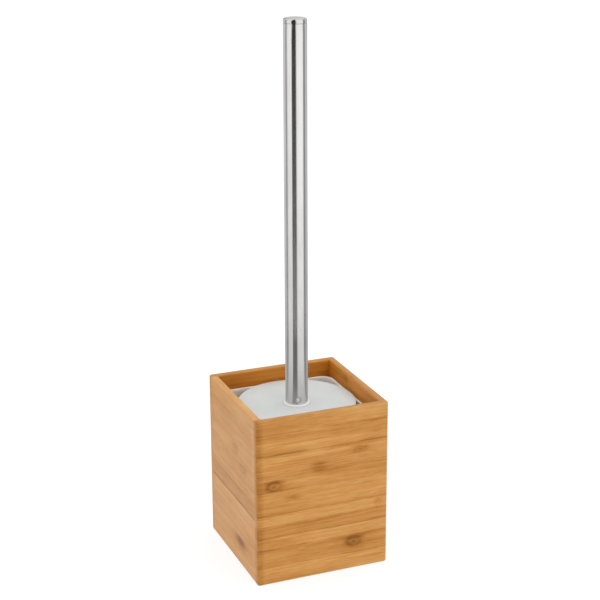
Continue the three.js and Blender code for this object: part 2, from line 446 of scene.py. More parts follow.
backBoard = {
    "grain": 0,
    "tint": (0.97, 0.94, 0.9),
    "strips": (0, 9.5, 21, 33.5, 44, 53, 65.5, 76, 84.5, 97, 108.5),
    "tones": (0.5, 0.46, 0.53, 0.49, 0.55, 0.45, 0.5, 0.53, 0.47, 0.51, 0.48),
    "lines": (0.8, 0.6, 0.9, 0.4, 1.0, 0.5, 0.8, 0.6, 0.9, 0.6, 0.0),
    "knuckles": (
        (-20, 15.2, 5.0, 3.0, 0.26, 0.5),
        (18, 39.0, 5.6, 3.2, 0.3, 0.7),
        (33, 70.5, 4.2, 3.4, 0.2, 0.4),
        (-31, 90.0, 5.8, 3.4, 0.33, 0.8),
    ),
    "innerShade": (1.05, 0.82, 0.32),
    "seed": 11.0,
}
leftBoard = {
    "grain": 1,
    "contrast": 0.8,
    # painted sheen: the whole left board is painted paler and bluer, standing in for the sheen its face shows
    # at a grazing view
    "tint": (1.005, 1.02, 1.17),
    # painted light: the left board's rim is painted paler, standing in for the stronger light from above
    "rimPaintedLight": (1.13, 1.16, 1.27),
    "knuckleTint": (0.98, 0.91, 0.52),
    "strips": (0, 12.5, 27, 40, 50.5, 62, 72.7, 86, 98, 110),
    "tones": (0.53, 0.5, 0.51, 0.49, 0.48, 0.42, 0.53, 0.50, 0.49, 0.52),
    "lines": (0.25, 0.2, 0.3, 0.3, 0.3, 0.6, 0.15, 0.2, 0.3, 0.0),
    "streaks": (
        (0, 62, 30, 1.2, -0.04),
        (0, 72.0, 44, 0.9, -0.05),
        (10, 75, 36, 2.2, 0.05),
        (-38, 6.6, 9, 0.45, -0.3),
        (5, 44, 12, 0.8, -0.05),
    ),
    "patches": (
        # along, depth, half length, half height, how much lighter or darker
        (-41.2, 26, 2.8, 21, 0.08),
        (10, 2, 60, 7, 0.05),
        (-32, 64, 9, 6, -0.03),
    ),
    "knuckles": (
        (-5.5, 35.0, 5.4, 4.0, 0.22, 0.7),
        (-19.7, 44.5, 6.5, 2.4, 0.2, 0.9),
        (-13.6, 101.6, 7.5, 3.6, 0.72, 0.0),
    ),
    "innerShade": (1.1, 0.86, 0.34),
    "seed": 23.0,
}
rightBoard = {
    "grain": 1,
    "tint": (0.97, 0.95, 0.93),
    "strips": (0, 10, 19.5, 31, 43.5, 55, 64.5, 76.5, 89, 101, 110),
    "tones": (0.5, 0.45, 0.52, 0.48, 0.54, 0.5, 0.46, 0.52, 0.48, 0.53, 0.5),
    "lines": (0.5, 0.7, 0.4, 0.9, 0.5, 0.6, 1.0, 0.4, 0.8, 0.5, 0.0),
    "knuckles": (
        (13, 4.6, 3.2, 2.0, 0.36, 0.3),
        (-22, 25.0, 5.0, 3.6, 0.26, 0.6),
        (21, 49.0, 5.2, 3.4, 0.3, 0.6),
        (-8, 82.5, 5.6, 3.6, 0.22, 0.4),
        (30, 95.0, 4.6, 3.4, 0.3, 0.7),
    ),
    "innerShade": (1.2, 1.0, 0.43),
    "seed": 37.0,
}
baseBoard = {
    "grain": 0,
    "tint": (1.0, 0.98, 0.96),
    "strips": (0, 15, 31, 46, 62, 74, 87, 103),
    "tones": (0.5, 0.46, 0.53, 0.48, 0.52, 0.45, 0.51, 0.48),
    "lines": (0.6, 0.8, 0.5, 0.9, 0.5, 0.8, 0.6, 0.0),
    "knuckles": ((12, 38.0, 5.5, 4.0, 0.28, 0.6), (-25, 80.0, 5.5, 3.8, 0.25, 0.5)),
    "seed": 51.0,
}


def bell(square):
    # 1 where the square is 0, falling to 0 as it grows: e to the power of minus the square
    return math.e ** -square


def knuckleShade(finish, u, v, curl, patch):
    # a brown heart and a shadow drawn out along the grain; where it curls also a ring left open on one side,
    # a bar above it and a paler line inside it
    shape = knuckleShape
    reach = (u * u + v * v).root()
    tight, heartDark = shape["heart"]
    heart = bell(reach * reach * tight)
    opening = 1 - finish.soft(u + v * 0.5, 0.1, 0.6) * 0.7
    place, tight, ringDark = shape["ring"]
    ring = bell(((reach - place) * tight) ** 2) * opening * curl * (0.4 + patch * 1.1)
    place, tight, barDark = shape["bar"]
    bar = bell(((v + place) * tight) ** 2 + (u * u) ** 2 * 0.35) * curl
    place, tight, curvePale = shape["curve"]
    curve = bell(((reach - place) * tight) ** 2) * curl
    long, tall, shadowDark = shape["shadow"]
    shadow = bell(u * u * long + v * v * tall)
    spot = heart * heartDark + ring * ringDark + bar * barDark - curve * curvePale + shadow * shadowDark
    return spot, ring


def bambooFinish(name, board, flat=False):
    # One number, the tone, runs from knuckle brown to pale straw. It is the strip's own tone, less a shadow
    # towards the strip's lower edge, less the knuckles, plus fibres stretched along the grain.
    grain = bambooGrain
    finish = Finish(name)
    x, y, z = finish.place()
    facingX, facingY, facingZ = finish.facing()
    runsAlongX = board["grain"] == 0
    along, across = (x, y) if runsAlongX else (y, x)
    endFacing, sideFacing = (facingX, facingY) if runsAlongX else (facingY, facingX)
    depth = across + grain["flatDepth"] if flat else boxTop - z
    through = z if flat else across
    seed = board["seed"]
    soft = finish.soft
    wander = finish.noise(finish.vector(along / 42, depth / 30, seed), 1.0) - 0.5
    level = depth + wander * grain["wander"]

    def fibres(kind):
        # noise drawn out along the grain
        length, height, thick, own, detail, roughness = grain[kind]
        place = finish.vector(along / length, level / height, through / thick + (seed + own))
        return finish.noise(place, detail, roughness)

    def drawn(length, height, own, detail, roughness=0.5):
        # noise that is the same all through the board
        return finish.noise(finish.vector(along / length, level / height, seed + own), detail, roughness)

    # the strips: a tone for each, how dark its lower edge is, and how far down in it a point lies
    share = level * (1 / grain["span"])
    edges = [edge / grain["span"] for edge in board["strips"]]
    tone = finish.ramp(share, list(zip(edges, board["tones"])), "CONSTANT")
    darkness = finish.ramp(share, list(zip(edges, board["lines"])), "CONSTANT")
    saw = []
    for upper, lower in zip(edges, edges[1:] + [1]):
        saw += [(upper, 0.0), (lower - 0.0004, 1.0)]
    inStrip = finish.ramp(share, saw)
    # fibres: broad streaks, fine fibre, and short pale or dark pores
    streak, fibre, hair, cloud, dash = (fibres(kind) for kind in ("streak", "fibre", "hair", "cloud", "dash"))
    amounts = grain["amounts"]
    grainy = (streak - 0.5) * amounts["streak"] + (fibre - 0.5) * amounts["fibre"]
    grainy = grainy + (hair - 0.5) * amounts["hair"] + (cloud - 0.5) * amounts["cloud"]
    grainy = grainy + soft(dash, 0.6, 0.72) * grain["paleDash"] - soft(dash, 0.41, 0.3) * grain["darkDash"]
    tone = tone + grainy * board.get("contrast", 1.0)
    # edges of the strips, darker in some stretches than in others
    patch = drawn(22, 60, 9, 2.0, 0.6)
    edgeShade = soft(inStrip, 0.66, 0.99) ** 3 * soft(patch, 0.3, 0.62)
    line = soft(inStrip, 0.955, 0.99) * (soft(patch, 0.36, 0.56) * 0.7 + 0.3)
    tone = tone - edgeShade * darkness * grain["edgeShade"] - line * darkness * grain["line"]
    tone = tone + soft(inStrip, 0.16, 0.0) * (1 - soft(patch, 0.4, 0.6)) * grain["upperEdge"]
    relief = fibre * 0.5 + hair * 0.3 - line * 0.6
    for middle, middleDepth, length, height, amount in board.get("streaks", ()):
        u = (along + (fibre - 0.5) * 14 - middle) / length
        v = (level + (streak - 0.5) * 1.5 - middleDepth) / height
        tone = tone + bell((u * u) ** 2 + v * v) * (0.55 + fibre * 0.9) * amount
    for middle, middleDepth, length, height, amount in board.get("patches", ()):
        u = (along - middle) / length
        v = (depth - middleDepth) / height
        tone = tone + bell((u * u) ** 2 + (v * v) ** 2) * (0.6 + fibre * 0.8) * amount
    # knuckles, bent a little, and cut off at the edges of their strip
    warpAlong = (drawn(3, 1.6, 2, 2.0) - 0.5) * 3.4
    warpDepth = (drawn(3.4, 1.8, 7, 2.0) - 0.5) * 2.0
    for middle, middleDepth, length, height, dark, curl in board["knuckles"]:
        upper = max(edge for edge in board["strips"] if edge < middleDepth)
        lower = min([edge for edge in board["strips"] if edge > middleDepth] + [grain["span"]])
        u = (along + warpAlong - middle) / length
        v = (level + warpDepth - middleDepth) / height
        spot, ring = knuckleShade(finish, u, v, curl, patch)
        inside = soft(level, upper - 0.1, upper + 0.5) * soft(level, lower + 0.1, lower - 0.5)
        tone = tone - spot * (0.5 + fibre) * inside * dark
        relief = relief - ring * 0.4
    # a cut end shows the fibre bundles as dots
    isEnd = soft(abs(endFacing), 0.75, 0.92)
    bundles = finish.vector(across / grain["bundle"], level / grain["bundle"], along / 5)
    cells = finish.node("TexVoronoi", {"feature": "F1"}, {"Vector": bundles, "Scale": 1.0, "Randomness": 0.9})
    endTone = tone * 0.55 + 0.25 - soft(cells, 0.34, 0.12) * 0.16 + (hair - 0.5) * 0.1
    tone = tone + (endTone - tone) * isEnd
    if "cornerShade" in board:
        # painted shade: the upright edge at the lower end of X is painted darker, standing in for the darker
        # reflection along its rounded corner
        corner = (half - abs(x)) + (half - abs(y)) + (x > 0) * 100
        shadeBreakup = finish.noise(finish.vector(1.0, corner / 3, z / 5), 2.0)
        tone = tone - soft(corner, 5.8, 1.6) * (0.55 + shadeBreakup * 0.9) * board["cornerShade"]
    colour = finish.ramp(tone.clamped(), list(bambooTones.values()))
    warmth = soft(drawn(70, 7, 13, 1.0), 0.3, 0.7)
    tints = [(warmth, (1.0, 0.955, 0.88)), (1.0, board["tint"])]
    if "endTint" in board:
        tints.append((isEnd, board["endTint"]))
    if "knuckleTint" in board:
        tints.append((soft(tone, 0.44, 0.26), board["knuckleTint"]))
    # painted light: faces that look up are painted paler
    if "rimPaintedLight" in board:
        tints.append((soft(facingZ, 0.5, 0.9), board["rimPaintedLight"]))
    if "innerShade" in board:
        # painted shade: the inner faces are painted darker and warmer, standing in for the shade and the warm
        # bounced light inside the box
        tints.append((soft(across * sideFacing, -22, -38), board["innerShade"]))
    for amount, tint in tints:
        colour = finish.blend(amount, colour, tint, "MULTIPLY")
    finish.set(Base_Color=colour, Specular_IOR_Level=0.2)
    finish.set(Roughness=grain["roughness"] + (fibre - 0.5) * 0.22 + line * 0.1)
    finish.set(Coat_Roughness=0.3, Coat_Weight=grain["coat"] + (streak - 0.5) * 0.1)
    finish.set(Normal=finish.bump(relief, grain["bump"], 0.00025))
    return finish


# the boards of the box

boxShape = {
    "corner": 1.8,       # upright outer edges
    "rim": 1.0,          # rim and foot
    "hold": 0.18,        # narrow band beside each rounded edge that keeps the flats flat
    "steps": 5,
    "length": 14,        # stations along a board
    "height": 9,         # stations up a board
    "arris": 0.12,       # joint between a side board and its neighbours
}


def boardStations():
    # rows from the foot to the rim as [height, how far the outer face draws in, and the inner face]
    r = boxShape["rim"]
    hold = boxShape["hold"]
    turn = np.radians(np.linspace(0, 90, boxShape["steps"] + 1))
    foot = together(r * (1 - np.cos(turn)), r * (1 - np.sin(turn)), 0)
    middle = np.linspace(r + hold, boxTop - r - hold, boxShape["height"])
    middle = together(middle, 0, 0)
    rim = together(boxTop - r + r * np.sin(turn), r * (1 - np.cos(turn)), r * (1 - np.cos(turn)))
    first = [[0, r + hold, 0]]
    last = [[boxTop, r + hold, r + hold]]
    return np.concatenate([first, foot, middle, rim, last])


def widePlan(outer, inner):
    # plan of a full-width board: along the outside round both corners, then along the inside past the notches
    level = half - outer
    corner = half - boxShape["corner"]
    radius = boxShape["corner"] - outer
    hold = boxShape["hold"]
    turn = np.radians(np.linspace(180, 90, boxShape["steps"] + 1))
    endAcross = np.array([mouth, mouth + hold, corner - hold])
    flat = np.linspace(-corner + 4, corner - 4, boxShape["length"])
    straight = np.concatenate([[-corner + hold], flat, [corner - hold]])
    run = np.concatenate([
        together(-level, endAcross),
        together(-corner + radius * np.cos(turn), corner + radius * np.sin(turn)),
    ])
    outside = np.concatenate([run, together(straight, level), run[::-1] * [-1, 1]])
    notch = mouth + inner
    share = np.linspace(0, 1, len(endAcross), endpoint=False)[:, None]
    rise = np.linspace(0, 1, len(turn))[:, None]
    run = np.concatenate([
        [-level, mouth] + share * [level - notch, 0],
        [-notch, mouth] + rise * [0, inner],
    ])
    straight = np.linspace(-notch, notch, len(straight) + 2)[1:-1]
    inside = np.concatenate([run, together(straight, notch), run[::-1] * [-1, 1]])
    return outside, inside


def narrowPlan(outer, inner):
    # plan of a board that stands between the other two: a plain rectangle
    stations = np.linspace(-sideEnd, sideEnd, boxShape["length"])
    return together(stations, half - outer), together(stations, mouth + inner)


def board(plan, toFrame):
    # plans at each height are stacked into a closed tube; its two ends are quads between outside and inside
    rows = []
    for height, outer, inner in boardStations():
        outside, inside = plan(outer, inner)
        loop = np.concatenate([outside, inside[::-1]])
        rows.append(together(*loop.T, height))
    rows = np.stack(rows)
    count = rows.shape[1]
    side = count // 2
    faces = gridFaces(len(rows), count, False, True)
    i = np.arange(side - 1)
    lid = together(i, i + 1, count - 2 - i, count - 1 - i)
    points = toFrame(rows.reshape(-1, 3))
    facesAll = np.concatenate([faces, lid, lid[:, ::-1] + (len(rows) - 1) * count])
    return facingOut(*mergeDoubles(points, facesAll))


boardPieces = (
    ("front_board", "front_panel", frontBoard, widePlan, lambda p: p * [1, -1, 1]),
    ("back_board", "back_panel", backBoard, widePlan, lambda p: p * [1, 1, 1]),
    ("left_board", "left_panel", leftBoard, narrowPlan, lambda p: p[:, [1, 0, 2]] * [-1, 1, 1]),
    ("right_board", "right_panel", rightBoard, narrowPlan, lambda p: p[:, [1, 0, 2]] * [1, 1, 1]),
)
for name, node, look, plan, toFrame in boardPieces:
    makePiece(name, *board(plan, toFrame), "box", "bamboo", bambooFinish(name + "_bamboo", look), node)
print("boards")


def squareRing(level, radius, steps=9, flats=5):
    # one loop round a square with rounded corners, anticlockwise, the same count of points for any size
    turn = np.radians(np.linspace(0, 90, steps + 1))
    centre = level - radius
    corner = together(centre + radius * np.cos(turn), centre + radius * np.sin(turn))
    share = np.concatenate([[0.02], np.linspace(0, 1, flats)[1:-1], [0.98]])
    side = np.concatenate([corner, together(centre * (1 - 2 * share), level)])
    sides = [side]
    for _ in range(3):
        side = together(-side[:, 1], side[:, 0])
        sides.append(side)
    return np.concatenate(sides)


def squareTurned(profile):
    # each [half width, corner radius, height] becomes one rounded square ring; rings are joined in order
    rings = np.stack([together(*squareRing(level, radius).T, height) for level, radius, height in profile])
    return mergeDoubles(rings.reshape(-1, 3), gridFaces(len(rings), rings.shape[1], False, True))


def baseSlab():
    # flat slab with slightly rubbed edges
    rub = boxShape["arris"] * 3
    flat = (baseHalf - rub - 0.1, 0.1)
    lip = (baseHalf - rub, 0.1)
    profile = [(0, 0, 0), (*flat, 0), (*lip, 0), (baseHalf, 0.3, rub), (baseHalf, 0.3, baseTop - rub)]
    profile += [(*lip, baseTop), (*flat, baseTop), (0, 0, baseTop)]
    return squareTurned(profile)


baseFinish = bambooFinish("base_bamboo", baseBoard, flat=True)
makePiece("base_board", *baseSlab(), "box", "bamboo", baseFinish, "base_panel")
print("base")


# plastics

plasticGrain = {
    "cloud": 19,          # sizes in millimetres
    "peel": 0.9,
    "fleck": 0.35,
    "scuff": (2.2, 7, 4),
    "flecks": 0.12,       # how much they show
    "scuffGloss": 0.16,   # how much they change the roughness
    "cloudGloss": 0.06,
    "specular": 0.42,
    "bump": (0.16, 0.00012),    # strength and depth
}


def plasticFinish(name, look):
    # moulded plastic: even colour with a faint cloudiness, fine orange peel, and scuffs in the gloss
    grain = plasticGrain
    finish = Finish(name)
    x, y, z = place = finish.place()
    size = grain["cloud"]
    cloud = finish.noise(finish.vector(x / size, y / size, z / size + look["seed"]))
    wide, deep, tall = grain["scuff"]
    scuff = finish.noise(finish.vector(x / wide, y / deep, z / tall + look["seed"]), 3.0, 0.65)
    peel = finish.mottle(place, [grain["peel"]] * 3, 2.0, 0.6)
    fleck = finish.soft(finish.mottle(place, [grain["fleck"]] * 3, 1.0), 0.68, 0.8)
    colour = finish.blend(finish.soft(cloud, 0.3, 0.7), look["shade"], look["colour"])
    colour = finish.blend(fleck * grain["flecks"], colour, look["shade"])
    # painted highlight: the collar's top round the tube's foot is painted paler than the rest of the lid
    if "ledge" in look:
        inside = finish.soft((x * x + y * y).root(), ledgeEdge + 0.35, ledgeEdge - 0.25)
        ledgeHighlightMask = inside * finish.soft(z, ledgeTop - 1.0, ledgeTop - 0.4)
        colour = finish.blend(ledgeHighlightMask, colour, look["ledge"])
    gloss = (scuff - 0.5) * grain["scuffGloss"] + (cloud - 0.5) * grain["cloudGloss"]
    finish.set(Base_Color=colour, Roughness=gloss + look["roughness"], Specular_IOR_Level=grain["specular"])
    finish.set(Normal=finish.bump(peel * 0.7 + scuff * 0.5, *grain["bump"]))
    return finish


potLook = {
    "colour": linear(247, 241, 233),
    "shade": linear(244, 238, 230),
    "roughness": 0.36,
    "seed": 4.0,
}
lidLook = {
    "colour": linear(218, 222, 221),
    "shade": linear(212, 217, 216),
    # painted highlight on the collar's top, standing in for the light that falls on it
    "ledge": linear(253, 252, 248),           # the collar round the tube's foot
    "roughness": 0.34,
    "seed": 8.0,
}
coreLook = {
    "colour": linear(232, 232, 229),
    "shade": linear(223, 223, 220),
    "roughness": 0.4,
    "seed": 15.0,
}

potShape = {
    "wall": 1.8,
    "floor": 2.2,
    "corner": 9.0,
    "draft": 1.6,         # narrower at the foot than at the rim, each side
    "foot": 1.5,
    "rim": 0.55,          # rounding of the rim's edges
    "fillet": 2.2,        # inside, between wall and floor
}


def potProfile():
    # out along the foot, up the outside, over the rim, down the inside, and in along the floor
    rim = potHigh[2]
    bottom = potLow[2]
    outside = potHigh[0]
    floor = bottom + potShape["floor"]
    corner = potShape["corner"]
    rows = []

    def add(height, inset, wallInset):
        # inset counts from the drafted outside face, wallInset is taken off the corner's radius too
        level = outside - potShape["draft"] * (rim - height) / (rim - bottom)
        rows.append((level - inset - wallInset, max(corner - inset - wallInset, 0.4), height))

    foot = potShape["foot"]
    lip = potShape["rim"]
    wide = outside - potShape["draft"]
    for level in (0.0, wide * 0.4, wide * 0.8):
        rows.append((level, min(level, corner * 0.8), bottom))
    for turn in np.radians(np.linspace(0, 90, 6)):
        add(bottom + foot * (1 - math.cos(turn)), foot * (1 - math.sin(turn)), 0)
    for share in np.linspace(0.03, 0.97, 8):
        add(bottom + foot + (rim - lip - bottom - foot) * share, 0, 0)
    for turn in np.radians(np.linspace(0, 90, 5)):
        add(rim - lip + lip * math.sin(turn), lip * (1 - math.cos(turn)), 0)
    wallIn = potShape["wall"]
    for turn in np.radians(np.linspace(90, 0, 5)):
        add(rim - lip + lip * math.sin(turn), -lip * (1 - math.cos(turn)), wallIn)
    fillet = potShape["fillet"]
    for share in np.linspace(0.97, 0.03, 8):
        add(floor + fillet + (rim - lip - floor - fillet) * share, 0, wallIn)
    for turn in np.radians(np.linspace(0, 90, 6)):
        add(floor + fillet * (1 - math.sin(turn)), fillet * (1 - math.cos(turn)), wallIn)
    for level in (wide * 0.75, wide * 0.4, 0.0):
        rows.append((level, min(level, corner * 0.6), floor))
    return rows


potFinish = plasticFinish("pot_white", potLook)
makePiece("pot", *squareTurned(potProfile()), "pot", "pot_plastic", potFinish, "inner_pot")
print("pot")


lidShape = {
    "edge": 1.4,          # thickness at the edge
    "land": 3.5,          # flat ring at the edge
    "middle": 1.6,        # thickness near the middle
    "dish": 1.8,          # how much lower the middle lies
    "collar": 1.2,        # ledge round the foot of the tube
    "collarHeight": 1.75,
    "collarRound": 0.45,
    "fillet": 0.9,
    "soft": 0.35,         # rounding of the hub and the bore
    "hub": 10.0,
    "hubHeight": 2.0,
    "bore": 4.3,
    "sides": 176,
}
lidCentre = lidLow[2] + lidShape["hubHeight"] + lidShape["middle"]    # top of the lid at its lowest
ledgeTop = lidCentre + lidShape["collarHeight"]
ledgeEdge = tubeRadius + lidShape["collar"] + lidShape["fillet"]


def lidProfile():
    # [radius, height] round the section: under the hub, along the underside, round the edge, over the dish
    s = lidShape
    radius = lidHigh[0]
    bottom = lidLow[2]
    under = lidCentre - s["middle"]
    edgeTop = lidCentre + s["dish"]
    seat = edgeTop - s["edge"]
    collar = tubeRadius + s["collar"]
    land = radius - s["land"]
    crest = s["edge"] / 2
    soft = s["soft"]
    hub, bore, fillet, bend = s["hub"], s["bore"], s["fillet"], s["collarRound"]
    sag = np.linspace(0.06, 0.94, 9)[:, None]
    dish = np.array([[land, edgeTop]]) * (1 - sag) + np.array([[collar + fillet * 1.6, lidCentre]]) * sag
    dish[:, 1] += s["dish"] * 0.06 * np.sin(sag[:, 0] * 2 * math.pi)
    parts = [
        arc((bore + soft, bottom + soft), soft, 180, 270, 3),
        arc((hub - soft, bottom + soft), soft, 270, 360, 3),
        arc((hub + soft, under - soft), soft, 180, 90, 3),
        [[hub + 2, under + 0.02], [land - 0.6, seat - 0.03], [land + 0.3, seat]],
        [[radius - crest - 0.1, seat]],
        arc((radius - crest, seat + crest), crest, -90, 90, 8),
        [[radius - crest - 0.15, edgeTop], [land + 0.5, edgeTop], [land + 0.1, edgeTop - 0.01]],
        dish,
        arc((collar + fillet, lidCentre + fillet), fillet, 270, 180, 5),
        arc((collar - bend, ledgeTop - bend), bend, 0, 90, 4),
        [[collar - bend - 0.15, ledgeTop], [bore + soft + 0.1, ledgeTop]],
        arc((bore + soft, ledgeTop - soft), soft, 90, 180, 3),
        [[bore, ledgeTop - soft - 0.1], [bore, bottom + soft + 0.1]],
    ]
    return np.concatenate(parts)


lidSkin = turned(lidProfile(), lidShape["sides"], closed=True)
makePiece("lid", *lidSkin, "lid", "lid_plastic", plasticFinish("lid_white", lidLook), "splash_lid")
print("lid")


# handle

steelLook = {
    "colour": (0.86, 0.85, 0.845),
    "stain": (0.80, 0.785, 0.78),
    "roughness": 0.215,
    "brushed": 1.0,       # round the tube, so reflections smear along it
}
steelGrain = {
    "hair": (28, 0.14),   # length and width of a hair line
    "ring": 0.12,         # width of a ring on a turned end
    "haze": (9, 9, 34),
    "wipe": (3, 3, 9),
    "hairGloss": 0.06,
    "wipeGloss": 0.02,
    "bump": (0.03, 0.00002),
}


def steelFinish(name, look, turnedEnd=False):
    # brushed steel: hair lines round the tube (rings on its end), a slight haze, and faint wipe marks
    grain = steelGrain
    finish = Finish(name)
    x, y, z = place = finish.place()
    if turnedEnd:
        radius = (x * x + y * y).root()
        lines = finish.noise(finish.vector(radius / grain["ring"], z / grain["ring"], 0.0), 2.0, 0.6)
    else:
        length, width = grain["hair"]
        girth = y.maths("ARCTAN2", y, x) * tubeRadius
        lines = finish.noise(finish.vector(girth / length, z / width, 3.0), 3.0, 0.6)
    haze = finish.soft(finish.mottle(place, grain["haze"]), 0.35, 0.7)
    wipe = finish.soft(finish.mottle(place, grain["wipe"]), 0.5, 0.75)
    finish.set(Base_Color=finish.blend(haze, look["colour"], look["stain"]), Metallic=1.0)
    finish.set(Roughness=(lines - 0.5) * grain["hairGloss"] + wipe * grain["wipeGloss"] + look["roughness"])
    finish.set(Anisotropic=look["brushed"], Anisotropic_Rotation=0.25)
    finish.set(Normal=finish.bump(lines, *grain["bump"]))
    return finish


tubeShape = {
    "wall": 0.8,
    "hole": 1.9,          # radius
    "level": 3.5,         # middle of the hole above the foot of the tube
    "turn": -102.0,       # degrees about Z
    "window": 3.1,        # half the height of the patch of finer mesh round the hole
    "round": 0.12,
    "columns": 120,
    "patch": 14,          # stations along each side of the patch
}


def tube():
    # Outer and inner wall are one grid of angle by height. Round the hole a patch of both walls is cut out
    # and filled with rings that shrink from the patch's outline to the hole, go through the wall, and grow
    # again on the inside.
    s = tubeShape
    foot, top = tubeLow[2], tubeHigh[2]
    inside = tubeRadius - s["wall"]
    middle = foot + s["level"]
    n = s["patch"]
    spread = math.asin(s["window"] / tubeRadius) * 1.05
    window = np.linspace(-spread, spread, n + 1)
    rest = np.linspace(spread, 2 * math.pi - spread, s["columns"] - n + 1)[1:-1]
    angles = np.concatenate([window, rest])
    heights = np.linspace(middle - s["window"], middle + s["window"], n + 1)
    rise = np.linspace(middle + s["window"], top, 20)[1:]
    r = s["round"]
    outer = np.concatenate([[foot + r], heights, rise[:-1], [top - r]])
    rows = [(tubeRadius, z) for z in outer] + [(tubeRadius - r, top), (inside + r, top)]
    rows += [(inside, z) for z in outer[::-1]] + [(inside + r, foot), (tubeRadius - r, foot)]
    rows = np.array(rows)
    points = ringsFrom(rows, angles).reshape(-1, 3)
    faces = gridFaces(len(rows), len(angles), True, True).reshape(len(rows), len(angles), 4)
    kept = np.ones(faces.shape[:2], bool)
    kept[1:n + 1, :n] = False                       # outer patch
    innerStart = len(rows) - 2 - (n + 2)
    kept[innerStart:innerStart + n, :n] = False     # inner patch
    walls = points, [faces[kept]]
    # the outline of the patch as one loop of (angle, height)
    edge = np.concatenate([
        together(window[:-1], heights[0]),
        together(window[-1], heights[:-1]),
        together(window[:0:-1], heights[-1]),
        together(window[0], heights[:0:-1]),
    ])
    bearing = np.arctan2(edge[:, 1] - middle, edge[:, 0] * tubeRadius)

    def ring(radius, hole, share):
        # share 0 is the patch's outline, 1 the hole's edge
        angle = np.arcsin(hole * np.cos(bearing) / radius)
        drill = together(angle, middle + hole * np.sin(bearing))
        angle, height = (edge + (drill - edge) * share).T
        return together(radius * np.cos(angle), radius * np.sin(angle), height)

    hole = s["hole"]
    shares = (0, 0.3, 0.6, 0.85, 0.97, 1)
    rings = [ring(tubeRadius, hole + r, share) for share in shares]
    rings += [ring(tubeRadius - r * 0.3, hole + r * 0.3, 1), ring(tubeRadius - r, hole, 1)]
    rings += [ring(inside + r, hole, 1), ring(inside + r * 0.3, hole + r * 0.3, 1)]
    rings += [ring(inside, hole + r, share) for share in shares[::-1]]
    patch = np.concatenate(rings), [gridFaces(len(rings), len(edge), False, True)]
    points, faceLists = joined(walls, patch)
    points, faceLists = facingOut(*mergeDoubles(points, np.concatenate(faceLists)))
    return swung(points, s["turn"]), faceLists


tubeFinish = steelFinish("tube_steel", steelLook)
makePiece("handle_tube_wall", *tube(), "handle", "stainless_steel", tubeFinish, "handle_tube", crease=50)
print("tube")

capShape = {
    "height": 3.0,
    "round": 1.4,
    "play": 0.3,
    "edge": 0.12,         # bevel at the seam
    "lead": 0.8,          # rounding of the plug's end
    "groove": 0.25,
    "sides": 120,
}


def capProfile():
    # [radius, height]: up the plug with its groove, out under the cap, up its side, and over the rounded top
    s = capShape
    top = capHigh[2]
    under = top - s["height"]
    end = capLow[2]
    plug = tubeRadius - tubeShape["wall"] - s["play"]
    edge, lead, bend = s["edge"], s["lead"], s["round"]
    groove = plug - s["groove"]
    parts = [
        [[0, end], [plug - lead - 0.4, end]],
        arc((plug - lead, end + lead), lead, -60, 0, 3),
        [[plug, end + 1.0], [groove, end + 2.0], [groove, end + 3.2], [plug, end + 3.6], [plug, under - 0.3]],
        [[plug + 0.05, under], [tubeRadius - edge - 0.2, under], [tubeRadius - edge, under]],
        [[tubeRadius, under + edge], [tubeRadius, under + edge + 0.1], [tubeRadius, top - bend - 0.05]],
        arc((tubeRadius - bend, top - bend), bend, 0, 90, 10),
        [[tubeRadius - bend - 0.1, top], [tubeRadius * 0.4, top], [0, top]],
    ]
    return np.concatenate(parts)


capLook = {
    "colour": (0.80, 0.79, 0.785),
    "stain": (0.74, 0.73, 0.725),
    "roughness": 0.13,
    "brushed": 0.0,
}
capFinish = steelFinish("cap_steel", capLook, turnedEnd=True)
capSkin = turned(capProfile(), capShape["sides"])
makePiece("end_cap", *capSkin, "handle", "stainless_steel", capFinish, "handle_end_cap")
print("cap")


threadShape = {
    "pitch": 2.0,
    "depth": 0.42,
    "sides": 64,
    "stations": 10,       # rows of points to each turn of the thread
}


def threaded(radius, low, high, outwards):
    # a threaded round wall: radius + depth * wave(height / pitch - angle / full turn), faded out at both
    # ends; a stud's thread is cut inwards, so its crests stay at radius, and a bore's is cut outwards
    s = threadShape
    count = int(round((high - low) / s["pitch"] * s["stations"])) + 1
    z = np.linspace(low, high, count)[:, None]
    angle = fullTurn(s["sides"])
    phase = (z / s["pitch"] - angle / (2 * math.pi)) % 1
    wave = np.clip(1.3 * np.abs(2 * phase - 1) - 0.15, 0, 1)
    fade = np.clip(np.minimum(z - low, high - z) / s["pitch"], 0, 1)
    r = radius + s["depth"] * (wave - 1 if outwards else wave) * fade
    return together(r * np.cos(angle), r * np.sin(angle), z)


insertShape = {
    "bore": 4.3,
    "play": 0.3,
    "end": 2.0,           # how far the bore reaches past the stud
    "nub": 1.3,
    "nubRecess": 0.8,
}


